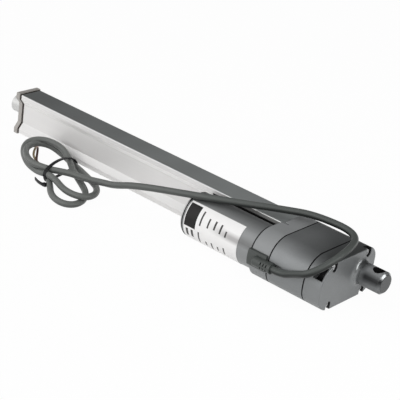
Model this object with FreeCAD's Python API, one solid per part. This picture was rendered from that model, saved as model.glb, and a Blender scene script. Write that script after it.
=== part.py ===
import FreeCAD, Part
import math
import os

V = FreeCAD.Vector

# Electric linear actuator with the motor beside the tube.
# X runs along the rod towards its free end, Y towards the motor, Z up.
# The origin is the centre of the rear pivot hole. All sizes are in millimetres.

# Stroke, lead screw, nut and rod
stroke = 300.0
thread_radius = 5.0
thread_end_in = 8.0
thread_chamfer = 0.8
running_gap = 0.05
nut_length = 17.4
nut_spigot = 9.0
nut_spigot_wall = 1.0
nut_step = 0.85
nut_gap = 0.35
rod_wall = 1.8
rod_end_step = 1.3
rod_end_reach = 11.9
rod_end_tip = 9.4
rod_end_chamfer = 2.0
rod_end_recess = 0.7
rod_end_spigot = 13.0

# Pivots
pivot_radius = 5.05
pivot_flare = 0.4
lug_radius = 10.0
lug_tip = 8.8
lug_tip_chamfer = 2.0
lug_root_fillet = 4.5

# Outer profile, a flat-backed extrusion with a waist that the motor nests in
back_wall = 1.4
waist_wall = 1.8
waist_depth = 4.4
flange_height = 4.9
slope_height = 5.6
profile_corner = 1.0
key_slot_half = 4.2
key_slot_depth = 4.5
key_side_gap = 0.35
key_foot_gap = 0.6
chamber_back_in = 5.4
chamber_front_in = 3.2
chamber_floor = 2.0
screw_passage = 8.0

# Motor
motor_radius = 20.9
motor_nest_gap = 0.9
motor_drop = 2.3
can_length = 89.4
can_wall = 1.5
seal_ring_thick = 1.2
end_cap_thick = 2.0
end_cap_step = 0.6
end_cap_edge = 1.2
end_cap_lip = 3.0
end_cap_spigot = 2.4
end_boss_wall = 1.4
end_boss_gap = 0.6
front_plate_thick = 3.0
motor_boss_radius = 5.8
motor_boss_in = 1.7
shaft_radius = 2.0
shaft_tip_radius = 1.6
shaft_tip_in = 3.0
shaft_step_out = 3.6
shaft_end_in = 2.4
bush_wall = 2.4
outboard_boss_radius = 6.2
outboard_bush_length = 4.4
magnet_thick = 3.6
magnet_over = 2.0
magnet_gap_half = 7.0
air_gap = 0.6
core_in = 21.0
slot_count = 10
slot_width = 2.4
slot_depth = 6.5
slot_roof = 1.4
slot_mouth_half = 0.5
winding_end = 6.0
winding_in = 1.6
winding_thick = 5.6
commutator_radius = 5.5
commutator_length = 8.0
commutator_gap = 3.0
commutator_in = 7.4
brush_plate_thick = 2.0
brush_plate_in = 0.8
brush_plate_gap = 1.9
brush_width = 4.0
brush_length = 7.0
brush_thick = 4.0
label_gap = 0.02
label_thick = 0.25
label_start = 15.7
label_end_in = 1.6
label_top_angle = 57.0
label_low_angle = -75.0

# Gear train and screw bearing
pressure_angle = 25.0
addendum = 0.8
dedendum = 1.15
backlash = 0.10
pinion_teeth = 11
wheel_teeth = 44
idler_teeth = 12
screw_teeth = 42
pinion_length = 8.0
pinion_gap = 5.0
pinion_boss_gap = 2.4
wheel_in = 0.6
wheel_width = 6.6
wheel_web = 2.6
wheel_rim = 1.6
screw_gear_gap = 3.4
screw_gear_width = 8.0
screw_hub_radius = 7.0
screw_hub_length = 2.6
journal_radius = 4.0
journal_over = 1.0
journal_shoulder = 0.4
idler_over = 1.4
idler_side_gap = 2.4
idler_front_gap = 2.6
idler_hub_wall = 1.6
idler_pin_radius = 1.75
idler_pin_bite = 10.6
idler_pin_front = 5.7
idler_boss_radius = 4.0
idler_boss_length = 10.3
bearing_seat = 1.3
bearing_width = 6.0
bearing_outer = 11.0
bearing_outer_wall = 1.5
bearing_inner_wall = 1.5
ball_gap = 0.05
ball_count = 11
clip_thick = 1.2
clip_radius = 6.6
clip_groove = 0.5
clip_mouth_half = 1.6

# Gearbox castings, a rounded oblong seen from the end
case_lip = 1.0
case_back_wall = 10.0
case_back_corner = 13.0
case_straight = 4.9
case_wall = 2.4
rear_face_x = 17.7
rear_wall = 3.2
rear_edge_round = 1.0
cover_depth = 17.7
front_depth = 19.0
motor_seat = 7.7
profile_seat = 3.2
land_setback = 2.5
flange_slot_width = 2.2
flange_slot_run = 7.5
flange_slot_depth = 9.0
rim_edge_round = 0.6
top_cover = 1.7
bottom_cover = 0.8
gasket_thick = 1.0
gasket_inset = 0.7

# Cover screws, their pockets and the scoop beside one of them
screw_edge = 4.9
screw_front_out = 6.6
screw_back_in = 12.5
screw_shank_radius = 1.6
screw_hole_gap = 0.15
screw_head_radius = 2.8
screw_head_height = 2.8
screw_head_sink = 1.8
screw_head_chamfer = 0.4
screw_socket_radius = 1.4
screw_socket_depth = 1.7
screw_bite = 6.7
pocket_gap = 0.5
boss_wall = 1.2
scoop_radius = 6.0
scoop_length = 9.5
scoop_angle = 38.0
scoop_centre_in = 2.5
scoop_flange = 1.5

# Front closure
nut_start = 0.3
end_clear = 2.0
bush_length = 12.0
wiper_length = 4.1
wiper_groove_x = 1.2
wiper_groove_width = 1.4
wiper_groove_depth = 0.7
front_gasket_thick = 0.9
cap_thick = 5.2
cap_lip = 1.0
cap_bore_gap = 0.4
cap_edge = 0.7
cap_screw_radius = 1.2
cap_screw_head = 2.1
cap_screw_sink = 1.6
cap_screw_length = 16.0
cap_screw_in = 3.1
cap_screw_gap = 0.1
cap_screw_drop = 0.2
cap_screw_bottom = 2.0
cross_half = 1.2
cross_bar = 0.3
cross_depth = 0.8

# Limit switches
strip_thick = 1.4
strip_half = 3.4
strip_end_gap = 2.0
switch_length = 12.0
switch_height = 5.2
switch_width = 5.6
switch_in = 2.0
button_radius = 0.8
button_height = 0.6

# Strain relief
relief_in = 1.2
relief_over = 1.3
relief_up = 7.2
relief_down = 7.1
relief_proud = 2.4
relief_gap = 0.1
boot_radius = 4.6
boot_length = 19.0
boot_back = 7.3
boot_out = 3.4
boot_rise = 0.3
boot_scoop = 0.5
boot_scoop_run = 6.0
boot_end_round = 1.2
boot_slot_width = 1.1
boot_slot_first = 3.0
boot_slot_pitch = 2.9
boot_slot_low = 0.9
boot_slot_high = 3.2
boot_slot_floor = 2.6

# Cord, its tied hank and bared cores
cord_radius = 3.1
cord_exit_run = 11.0
cord_route = [
    (43.0, 61.0, 3.4),
    (22.0, 63.0, 17.0),
    (8.0, 38.0, 30.0),
    (26.0, -4.0, 31.0),
    (66.0, -5.0, 28.6),
    (104.0, 6.0, 25.0),
    (134.0, 27.0, 24.4),
    (170.0, 45.5, 21.8),
    (226.0, 52.5, 8.0),
    (284.0, 55.0, -8.0),
    (322.0, 39.6, -17.4),
]
hank_x = 338.0
hank_y = 51.5
hank_turn = -15.0
hank_half_length = 62.0
hank_half_width = 17.0
hank_radius = 5.2
tie_width = 4.2
tie_thick = 1.2
tie_along = 2.0
tie_head_extra = 0.6
tie_head_length = 5.6
tie_head_place = -1.2
tie_head_height = 4.0
core_wire_radius = 0.95
core_wire_routes = [
    [(352.0, 60.5, -18.2), (364.0, 51.0, -17.2), (378.0, 43.0, -16.8)],
    [(349.0, 60.0, -17.2), (361.0, 48.5, -15.8), (373.0, 41.5, -14.8)],
]

# Radii that follow from the screw outwards
rod_inner = thread_radius + nut_spigot_wall
rod_radius = rod_inner + rod_wall
rod_end_radius = rod_radius + rod_end_step
nut_radius = rod_radius + nut_step
profile_bore = nut_radius + nut_gap
cap_bore = rod_end_radius + cap_bore_gap
clip_inner = thread_radius - clip_groove
can_inner = motor_radius - can_wall
core_radius = can_inner - magnet_thick - air_gap
winding_outer = core_radius - winding_in
winding_inner = winding_outer - winding_thick
end_cap_radius = motor_radius - end_cap_step
lip_radius = can_inner - end_cap_lip
case_radius = motor_radius + case_lip
hole_radius = screw_shank_radius + screw_hole_gap
shaft_bore = shaft_radius + running_gap
tip_bore = shaft_tip_radius + running_gap
front_bush = shaft_bore + bush_wall
outboard_bush = tip_bore + bush_wall

# Places across the part
waist_y = profile_bore + waist_wall
profile_back_y = -profile_bore - back_wall
profile_front_y = waist_y + waist_depth
motor_y = waist_y + motor_nest_gap + motor_radius
motor_z = -motor_drop
case_top_z = motor_z + case_radius
case_bottom_z = motor_z - case_radius
case_back_y = -bearing_outer - case_back_wall
profile_top_z = case_top_z - top_cover
profile_bottom_z = case_bottom_z + bottom_cover
key_slot_z = -profile_bore - key_slot_depth
chamber_z = profile_bottom_z + chamber_floor
floor_z = profile_bottom_z - cap_lip
boot_y = motor_y + case_radius + boot_out
boot_z = motor_z + boot_rise

# Places along the part, from the rear face to the front hole
cover_joint_x = rear_face_x + cover_depth
pinion_x0 = cover_joint_x + pinion_gap
pinion_x1 = pinion_x0 + pinion_length
wheel_x0 = pinion_x0 + wheel_in
wheel_x1 = wheel_x0 + wheel_width
screw_gear_x0 = wheel_x1 + screw_gear_gap
screw_gear_x1 = screw_gear_x0 + screw_gear_width
screw_hub_x1 = screw_gear_x1 + screw_hub_length
idler_x1 = screw_gear_x1 + idler_over
idler_boss_rear_x = wheel_x0 - idler_side_gap
idler_boss_front_x = idler_x1 + idler_front_gap
outboard_boss_x = pinion_x0 - pinion_boss_gap
case_joint_x = idler_boss_front_x + idler_boss_length
bearing_x0 = case_joint_x + bearing_seat
bearing_x1 = bearing_x0 + bearing_width
motor_boss_x = case_joint_x + motor_boss_in
motor_seat_x = case_joint_x + motor_seat
profile_start_x = motor_seat_x + profile_seat
rim_x = case_joint_x + front_depth
nut_x0 = rim_x + nut_start
nut_x1 = nut_x0 + nut_length
bush_x0 = nut_x1 + stroke + end_clear
wiper_x0 = bush_x0 + bush_length
profile_end_x = wiper_x0 + wiper_length
cap_x0 = profile_end_x + front_gasket_thick
cap_x1 = cap_x0 + cap_thick
rod_end_x0 = cap_x0 + rod_end_recess
front_hole_x = profile_end_x + rod_end_reach
rod_tip_x = front_hole_x + rod_end_tip
thread_end_x = bush_x0 - thread_end_in
can_end_x = motor_seat_x + can_length
seal_ring_x1 = can_end_x + seal_ring_thick
motor_end_x = seal_ring_x1 + end_cap_thick
shaft_end_x = can_end_x - shaft_end_in
commutator_x1 = can_end_x - commutator_in
commutator_x0 = commutator_x1 - commutator_length
core_x0 = motor_seat_x + core_in
core_x1 = commutator_x0 - commutator_gap - winding_end
brush_plate_x1 = commutator_x1 - brush_plate_in
brush_plate_x0 = brush_plate_x1 - brush_plate_thick
relief_x0 = case_joint_x + relief_in
relief_x1 = rim_x + relief_over
boot_x0 = case_joint_x - boot_back
boot_x1 = boot_x0 + boot_length
print("holes apart", round(front_hole_x, 3), "motor axis", round(motor_y, 3), round(motor_z, 3))

# Screw places
screw_half_z = case_radius - screw_edge
screw_places = []
for y in (case_back_y + screw_back_in, motor_y + screw_front_out):
    for side in (1, -1):
        screw_places.append((y, motor_z + side * screw_half_z, side))
head_x0 = rear_face_x + screw_head_sink
head_x1 = head_x0 + screw_head_height
screw_end_x = case_joint_x + screw_bite
cap_screw_places = []
for y in (profile_back_y + cap_screw_in, profile_front_y - cap_screw_in):
    for z in (profile_bottom_z + cap_screw_in, profile_top_z - cap_screw_in):
        cap_screw_places.append((y, z))


def cylinder(radius, x0, x1, y=0.0, z=0.0):
    return Part.makeCylinder(radius, x1 - x0, V(x0, y, z), V(1, 0, 0))


def tube(outer, inner, x0, x1, y=0.0, z=0.0):
    return cylinder(outer, x0, x1, y, z).cut(cylinder(inner, x0 - 1, x1 + 1, y, z))


def box(x0, x1, y0, y1, z0, z1):
    return Part.makeBox(x1 - x0, y1 - y0, z1 - z0, V(x0, y0, z0))


def prism(corners, x0, x1):
    # a flat outline in Y and Z pushed along X
    points = [V(x0, y, z) for y, z in corners]
    wire = Part.makePolygon(points + [points[0]])
    return Part.Face(wire).extrude(V(x1 - x0, 0, 0))


def case_block(x0, x1, inset):
    # the gearbox oblong: round over the motor, a fuller corner under it, two soft corners behind
    r = case_radius - inset
    q = r - case_straight
    c = case_back_corner - inset
    back = case_back_y + inset
    top = motor_z + r
    low = motor_z - r
    front = motor_y + r
    s = math.sqrt(0.5)
    edges = [
        Part.LineSegment(V(x0, back + c, top), V(x0, motor_y, top)),
        Part.Arc(V(x0, motor_y, top), V(x0, motor_y + r * s, motor_z + r * s), V(x0, front, motor_z)),
        Part.LineSegment(V(x0, front, motor_z), V(x0, front, low + q)),
        Part.Arc(V(x0, front, low + q), V(x0, front - q + q * s, low + q - q * s), V(x0, front - q, low)),
        Part.LineSegment(V(x0, front - q, low), V(x0, back + c, low)),
        Part.Arc(V(x0, back + c, low), V(x0, back + c - c * s, low + c - c * s), V(x0, back, low + c)),
        Part.LineSegment(V(x0, back, low + c), V(x0, back, top - c)),
        Part.Arc(V(x0, back, top - c), V(x0, back + c - c * s, top - c + c * s), V(x0, back + c, top)),
    ]
    wire = Part.Wire([e.toShape() for e in edges])
    return Part.Face(wire).extrude(V(x1 - x0, 0, 0))


def profile_corners(grow):
    # outline of the extrusion, grown all round for the cap
    b = profile_back_y - grow
    f = profile_front_y + grow
    t = profile_top_z + grow
    d = profile_bottom_z - grow
    w = waist_y + grow
    return [
        (b, d), (f, d),
        (f, profile_bottom_z + flange_height),
        (w, profile_bottom_z + flange_height + slope_height),
        (w, profile_top_z - flange_height - slope_height),
        (f, profile_top_z - flange_height),
        (f, t), (b, t),
    ]


def long_edges(shape, corners):
    # edges along X that stand on the given corners
    found = []
    for e in shape.Edges:
        a = e.Vertexes[0].Point
        b = e.Vertexes[-1].Point
        if abs(a.y - b.y) > 1e-6 or abs(a.z - b.z) > 1e-6 or abs(a.x - b.x) < 1e-6:
            continue
        if any(abs(a.y - y) < 1e-6 and abs(a.z - z) < 1e-6 for y, z in corners):
            found.append(e)
    return found


def profile_block(x0, x1, grow):
    corners = profile_corners(grow)
    solid = prism(corners, x0, x1)
    square = [corners[0], corners[1], corners[6], corners[7]]
    solid = solid.makeFillet(profile_corner, long_edges(solid, square))
    bends = corners[2:6]
    return solid.makeFillet(profile_corner, long_edges(solid, bends))


def edges_at_x(shape, x):
    return [e for e in shape.Edges if all(abs(v.Point.x - x) < 1e-6 for v in e.Vertexes)]


# Gear axes: the idler stands on the line from the screw to the motor, and the module fills that line
span = math.hypot(motor_y, motor_z)
gear_module = 2 * span / (pinion_teeth + wheel_teeth + idler_teeth + screw_teeth)
idler_share = (idler_teeth + screw_teeth) * gear_module / 2 / span
idler_y = idler_share * motor_y
idler_z = idler_share * motor_z
motor_to_idler = math.atan2(idler_z - motor_z, idler_y - motor_y)
idler_to_screw = math.atan2(-idler_z, -idler_y)
print("gear module", round(gear_module, 4), "idler axis", round(idler_y, 4), round(idler_z, 4))


def involute(angle):
    return math.tan(angle) - angle


def gear(teeth, x0, x1, y, z, phase):
    # spur gear with involute flanks; one tooth is centred on the phase angle
    pitch = gear_module * teeth / 2
    base = pitch * math.cos(math.radians(pressure_angle))
    tip = pitch + addendum * gear_module
    root = pitch - dedendum * gear_module
    half = math.pi / (2 * teeth) - backlash / (2 * pitch)
    start = max(base, root)
    flank = []
    for k in range(5):
        r = start + (tip - start) * k / 4
        a = math.acos(min(1.0, base / r))
        flank.append((r, half + involute(math.radians(pressure_angle)) - involute(a)))
    corners = []
    for n in range(teeth):
        mid = phase + 2 * math.pi * n / teeth
        if root < base:
            corners.append((root, mid - flank[0][1]))
        corners += [(r, mid - a) for r, a in flank]
        corners += [(r, mid + a) for r, a in reversed(flank)]
        if root < base:
            corners.append((root, mid + flank[0][1]))
    return prism([(y + r * math.cos(a), z + r * math.sin(a)) for r, a in corners], x0, x1)


def bent_wire(route):
    # straight runs joined by arcs that touch them smoothly
    points = [V(*p) for p in route]
    edges = []
    last = points[0]
    radii = []
    for i in range(1, len(points) - 1):
        a = points[i - 1] - points[i]
        b = points[i + 1] - points[i]
        back = 0.45 * min(a.Length, b.Length)
        ua = V(a).normalize()
        ub = V(b).normalize()
        turn = math.pi - ua.getAngle(ub)
        radius = back / math.tan(turn / 2)
        radii.append(round(radius, 1))
        p0 = points[i] + ua * back
        p1 = points[i] + ub * back
        mid = (ua + ub).normalize()
        centre = points[i] + mid * math.hypot(radius, back)
        edges.append(Part.LineSegment(last, p0).toShape())
        edges.append(Part.Arc(p0, centre - mid * radius, p1).toShape())
        last = p1
    edges.append(Part.LineSegment(last, points[-1]).toShape())
    return Part.Wire(edges), radii


def bent_tube(route, radius):
    wire, radii = bent_wire(route)
    start = V(*route[0])
    ahead = (V(*route[1]) - start).normalize()
    ring = Part.Wire([Part.Circle(start, ahead, radius).toShape()])
    solid = wire.makePipeShell([ring], True, False)
    print("bend radii", radii, "length", round(wire.Length, 1),
          "volume share", round(solid.Volume / (math.pi * radius ** 2 * wire.Length), 4))
    return solid


def group(shapes):
    return Part.makeCompound(shapes)


nodes = {}

# Rear cover with the pivot lug
cover_x1 = cover_joint_x - gasket_thick / 2
cover = case_block(rear_face_x, cover_x1, 0)
cover = cover.makeFillet(rear_edge_round, edges_at_x(cover, rear_face_x))
lug = cylinder(lug_radius, -lug_tip, rear_face_x + 1)
lug = lug.makeChamfer(lug_tip_chamfer, edges_at_x(lug, -lug_tip))
cover = cover.fuse(lug).removeSplitter()
root_ring = []
for e in cover.Edges:
    on_lug = isinstance(e.Curve, Part.Circle) and abs(e.Curve.Radius - lug_radius) < 1e-6
    if on_lug and abs(e.Curve.Center.x - rear_face_x) < 1e-6:
        root_ring.append(e)
cover = cover.makeFillet(lug_root_fillet, root_ring)
hollow = case_block(rear_face_x + rear_wall, cover_x1 + 1, case_wall)
pocket_radius = screw_head_radius + pocket_gap
for y, z, up in screw_places:
    hollow = hollow.cut(cylinder(pocket_radius + boss_wall, rear_face_x, cover_x1 + 2, y, z))
hollow = hollow.cut(cylinder(idler_boss_radius, rear_face_x, cover_x1 + 2, idler_y, idler_z))
hollow = hollow.cut(cylinder(outboard_boss_radius, rear_face_x, cover_x1 + 2, motor_y, motor_z))
scoop_ring = case_radius - scoop_centre_in
scoop_y = motor_y + scoop_ring * math.cos(math.radians(scoop_angle))
scoop_z = motor_z + scoop_ring * math.sin(math.radians(scoop_angle))
scoop_x0 = rear_face_x + scoop_flange
scoop_guard = scoop_radius + boss_wall
hollow = hollow.cut(cylinder(scoop_guard, scoop_x0 - boss_wall, cover_x1 + 2, scoop_y, scoop_z))
cover = cover.cut(hollow)
cover = cover.fuse(cylinder(idler_boss_radius, cover_x1 - 1, idler_boss_rear_x, idler_y, idler_z))
cover = cover.fuse(cylinder(outboard_boss_radius, cover_x1 - 1, outboard_boss_x, motor_y, motor_z))
idler_pin_x0 = idler_boss_rear_x - idler_pin_bite
idler_pin_x1 = case_joint_x + idler_pin_front
cover = cover.cut(cylinder(idler_pin_radius, idler_pin_x0, idler_boss_rear_x + 1, idler_y, idler_z))
outboard_bush_x0 = outboard_boss_x - outboard_bush_length
cover = cover.cut(cylinder(outboard_bush, outboard_bush_x0, outboard_boss_x + 1, motor_y, motor_z))
for y, z, up in screw_places:
    edge_z = case_top_z + 1 if up > 0 else case_bottom_z - 1
    pocket = cylinder(pocket_radius, rear_face_x - 1, head_x1, y, z)
    low_z = min(z, edge_z)
    high_z = max(z, edge_z)
    slot = box(rear_face_x - 1, head_x1, y - pocket_radius, y + pocket_radius, low_z, high_z)
    cover = cover.cut(pocket.fuse(slot))
    cover = cover.cut(cylinder(hole_radius, head_x1 - 1, cover_x1 + 1, y, z))
cover = cover.cut(cylinder(scoop_radius, scoop_x0, scoop_x0 + scoop_length, scoop_y, scoop_z))
pivot = Part.makeCylinder(pivot_radius, 4 * lug_radius, V(0, 0, -2 * lug_radius), V(0, 0, 1))
cover = cover.cut(pivot)
for end in (1, -1):
    flare_foot = V(0, 0, end * (lug_radius - pivot_flare))
    flare_top = pivot_radius + 2 * pivot_flare
    cover = cover.cut(Part.makeCone(pivot_radius, flare_top, 2 * pivot_flare, flare_foot, V(0, 0, end)))
nodes["rear_cover"] = cover.removeSplitter()

# Middle gear case
case_x0 = cover_joint_x + gasket_thick / 2
case_x1 = case_joint_x - gasket_thick / 2
case = case_block(case_x0, case_x1, 0)
hollow = case_block(case_x0 - 1, case_x1 + 1, case_wall)
for y, z, up in screw_places:
    hollow = hollow.cut(cylinder(hole_radius + boss_wall, case_x0 - 2, case_x1 + 2, y, z))
boot_scoop_x0 = boot_x0 - boot_scoop_run
boot_guard = boot_radius + boot_scoop + boss_wall
scoop = cylinder(boot_radius + boot_scoop, boot_scoop_x0, case_x1 + 2, boot_y, boot_z)
guard = cylinder(boot_guard, boot_scoop_x0 - boss_wall, case_x1 + 2, boot_y, boot_z)
hollow = hollow.cut(guard)
case = case.cut(hollow).cut(scoop)
for y, z, up in screw_places:
    case = case.cut(cylinder(hole_radius, case_x0 - 1, case_x1 + 1, y, z))
nodes["gear_case"] = case.removeSplitter()

# Sealing gaskets in the two joints of the castings
for name, x0, x1 in (("cover_gasket", cover_x1, case_x0), ("case_gasket", case_x1, case_x1 + gasket_thick)):
    ring = case_block(x0, x1, gasket_inset).cut(case_block(x0 - 1, x1 + 1, case_wall))
    for y, z, up in screw_places:
        ring = ring.cut(cylinder(hole_radius, x0 - 1, x1 + 1, y, z))
    if name == "case_gasket":
        ring = ring.cut(cylinder(boot_radius + boot_scoop, x0 - 1, x1 + 1, boot_y, boot_z))
    nodes[name] = ring

# Front housing: sockets for bearing, profile and motor
house_x0 = case_joint_x + gasket_thick / 2
house = case_block(house_x0, rim_x, 0)
house = house.makeFillet(rim_edge_round, edges_at_x(house, rim_x))
land_x = rim_x - land_setback
house = house.cut(box(land_x, rim_x + 1, case_back_y - 1, profile_front_y, case_bottom_z - 1, case_top_z + 1))
house = house.fuse(cylinder(idler_boss_radius, idler_boss_front_x, house_x0 + 1, idler_y, idler_z))
house = house.cut(cylinder(motor_radius, motor_seat_x, rim_x + 1, motor_y, motor_z))
house = house.cut(cylinder(motor_boss_radius, house_x0 - 1, motor_seat_x + 1, motor_y, motor_z))
house = house.cut(cylinder(bearing_outer, house_x0 - 1, bearing_x1))
house = house.cut(cylinder(screw_passage, bearing_x0, profile_start_x + 1))
house = house.cut(profile_block(profile_start_x, rim_x + 1, 0))
slot_x0 = rim_x - flange_slot_run
slot_y1 = profile_front_y + flange_slot_width
slot_foot = profile_top_z - flange_slot_depth
house = house.cut(box(slot_x0, rim_x + 1, profile_front_y, slot_y1, slot_foot, case_top_z + 1))
house = house.cut(cylinder(idler_pin_radius, idler_boss_front_x - 1, idler_pin_x1, idler_y, idler_z))
for y, z, up in screw_places:
    house = house.cut(cylinder(screw_shank_radius, house_x0 - 1, screw_end_x, y, z))
relief_low_z = motor_z - relief_down
relief_top_z = motor_z + relief_up
relief_outer = case_radius + relief_proud
slot_low_z = relief_low_z - relief_gap
slot_top_z = relief_top_z + relief_gap
relief_far_y = motor_y + 2 * case_radius
relief_slot = box(relief_x0 - relief_gap, rim_x + 2, motor_y, relief_far_y, slot_low_z, slot_top_z)
relief_slot = relief_slot.cut(cylinder(motor_radius, relief_x0 - 5, rim_x + 5, motor_y, motor_z))
house = house.cut(relief_slot)
house = house.cut(cylinder(boot_radius + boot_scoop, house_x0 - 1, relief_x0 + 1, boot_y, boot_z))
nodes["front_housing"] = house.removeSplitter()

# Four long socket screws that clamp the castings
screws = []
for y, z, up in screw_places:
    body = cylinder(screw_shank_radius, head_x0, screw_end_x, y, z)
    head = cylinder(screw_head_radius, head_x0, head_x1, y, z)
    head = head.makeChamfer(screw_head_chamfer, edges_at_x(head, head_x0))
    six = []
    for k in range(6):
        a = k * math.pi / 3
        six.append((y + screw_socket_radius * math.cos(a), z + screw_socket_radius * math.sin(a)))
    socket = prism(six, head_x0 - 1, head_x0 + screw_socket_depth)
    screws.append(body.fuse(head).cut(socket).removeSplitter())
nodes["cover_screws"] = group(screws)

# Outer profile
profile = profile_block(profile_start_x, profile_end_x, 0)
before_x = profile_start_x - 1
after_x = profile_end_x + 1
profile = profile.cut(cylinder(profile_bore, before_x, after_x))
profile = profile.cut(box(before_x, after_x, -key_slot_half, key_slot_half, key_slot_z - 0.5, 0))
chamber_y0 = profile_back_y + chamber_back_in
chamber_y1 = waist_y - chamber_front_in
profile = profile.cut(box(before_x, after_x, chamber_y0, chamber_y1, chamber_z, key_slot_z))
cap_hole_x0 = profile_end_x - cap_screw_length
for y, z in cap_screw_places:
    profile = profile.cut(cylinder(cap_screw_radius, cap_hole_x0, after_x, y, z))
nodes["outer_profile"] = profile.removeSplitter()

# Front cap, its gasket and screws
cap = profile_block(cap_x0, cap_x1, cap_lip)
cap = cap.makeChamfer(cap_edge, edges_at_x(cap, cap_x1))
cap = cap.cut(cylinder(cap_bore, cap_x0 - 1, cap_x1 + 1))
seal = profile_block(profile_end_x, cap_x0, 0)
seal = seal.cut(cylinder(cap_bore, profile_end_x - 1, cap_x0 + 1))
cap_screws = []
for y, z in cap_screw_places:
    cap = cap.cut(cylinder(cap_screw_radius, cap_x0 - 1, cap_x1 + 1, y, z))
    cap = cap.cut(cylinder(cap_screw_head + cap_screw_gap, cap_x1 - cap_screw_sink, cap_x1 + 1, y, z))
    seal = seal.cut(cylinder(cap_screw_radius, profile_end_x - 1, cap_x0 + 1, y, z))
    head_top = cap_x1 - cap_screw_drop
    body = cylinder(cap_screw_radius, cap_hole_x0 + cap_screw_bottom, head_top, y, z)
    head = cylinder(cap_screw_head, cap_x1 - cap_screw_sink, head_top, y, z)
    cross_x0 = head_top - cross_depth
    level = box(cross_x0, cap_x1, y - cross_half, y + cross_half, z - cross_bar, z + cross_bar)
    upright = box(cross_x0, cap_x1, y - cross_bar, y + cross_bar, z - cross_half, z + cross_half)
    cap_screws.append(body.fuse(head).cut(level.fuse(upright)).removeSplitter())
nodes["front_cap"] = cap.removeSplitter()
nodes["front_gasket"] = seal
nodes["cap_screws"] = group(cap_screws)

# Rod guide at the mouth of the profile
nodes["rod_bush"] = tube(profile_bore, rod_radius + running_gap, bush_x0, wiper_x0)
key_fill = box(bush_x0, wiper_x0, -key_slot_half, key_slot_half, key_slot_z, -rod_radius)
key_fill = key_fill.cut(cylinder(profile_bore, bush_x0 - 1, wiper_x0 + 1))
nodes["rod_bush"] = nodes["rod_bush"].fuse(key_fill).removeSplitter()
lip = tube(profile_bore, rod_radius + running_gap, wiper_x0, profile_end_x)
groove_x0 = wiper_x0 + wiper_groove_x
groove = tube(rod_radius + wiper_groove_depth, rod_radius - 1, groove_x0, groove_x0 + wiper_groove_width)
nodes["wiper_seal"] = lip.cut(groove)

# Rod with its drive nut and end fitting
nodes["piston_rod"] = tube(rod_radius, rod_inner, nut_x1, rod_end_x0)
nut = cylinder(nut_radius, nut_x0, nut_x1)
nut = nut.fuse(cylinder(rod_inner, nut_x1, nut_x1 + nut_spigot))
key_half = key_slot_half - key_side_gap
nut = nut.fuse(box(nut_x0, nut_x1, -key_half, key_half, key_slot_z + key_foot_gap, 0))
nut = nut.cut(cylinder(thread_radius + running_gap, nut_x0 - 1, nut_x1 + nut_spigot + 1))
nodes["drive_nut"] = nut.removeSplitter()
end = cylinder(rod_end_radius, rod_end_x0, rod_tip_x)
end = end.makeChamfer(rod_end_chamfer, edges_at_x(end, rod_tip_x))
end = end.fuse(cylinder(rod_inner, rod_end_x0 - rod_end_spigot, rod_end_x0))
pivot_foot = V(front_hole_x, 0, -2 * rod_end_radius)
front_pivot = Part.makeCylinder(pivot_radius, 4 * rod_end_radius, pivot_foot, V(0, 0, 1))
nodes["rod_end"] = end.cut(front_pivot).removeSplitter()

# Lead screw, its gear, bearing and clip
journal_x1 = screw_hub_x1 + journal_shoulder
screw = cylinder(journal_radius, screw_gear_x0 - journal_over, journal_x1 + 1)
screw = screw.fuse(cylinder(thread_radius, journal_x1, thread_end_x)).removeSplitter()
screw = screw.makeChamfer(thread_chamfer, edges_at_x(screw, thread_end_x))
clip_x1 = bearing_x1 + clip_thick
screw = screw.cut(tube(thread_radius + 1, clip_inner, bearing_x1, clip_x1))
nodes["lead_screw"] = screw
clip = tube(clip_radius, clip_inner, bearing_x1, clip_x1)
mouth = box(bearing_x1 - 1, clip_x1 + 1, -clip_mouth_half, clip_mouth_half, 0, clip_radius + 1)
nodes["screw_clip"] = clip.cut(mouth)
screw_phase = idler_to_screw + math.pi + math.pi / screw_teeth
wheel = gear(screw_teeth, screw_gear_x0, screw_gear_x1, 0, 0, screw_phase)
rim = gear_module * (screw_teeth / 2 - dedendum) - wheel_rim
dish_depth = (screw_gear_x1 - screw_gear_x0 - wheel_web) / 2
wheel = wheel.cut(tube(rim, screw_hub_radius, screw_gear_x0 - 1, screw_gear_x0 + dish_depth))
wheel = wheel.cut(tube(rim, screw_hub_radius, screw_gear_x1 - dish_depth, screw_gear_x1 + 1))
wheel = wheel.fuse(cylinder(screw_hub_radius, screw_gear_x1, screw_hub_x1))
wheel = wheel.cut(cylinder(journal_radius, screw_gear_x0 - 1, screw_hub_x1 + 1))
nodes["screw_gear"] = wheel.removeSplitter()
outer_inside = bearing_outer - bearing_outer_wall
inner_outside = thread_radius + bearing_inner_wall
nodes["bearing_outer_race"] = tube(bearing_outer, outer_inside, bearing_x0, bearing_x1)
nodes["bearing_inner_race"] = tube(inner_outside, thread_radius, bearing_x0, bearing_x1)
ball_radius = (outer_inside - inner_outside) / 2 - ball_gap
balls = []
ball_ring = (outer_inside + inner_outside) / 2
for k in range(ball_count):
    a = 2 * math.pi * k / ball_count
    centre = V((bearing_x0 + bearing_x1) / 2, ball_ring * math.cos(a), ball_ring * math.sin(a))
    balls.append(Part.makeSphere(ball_radius, centre))
nodes["bearing_balls"] = group(balls)

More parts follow.
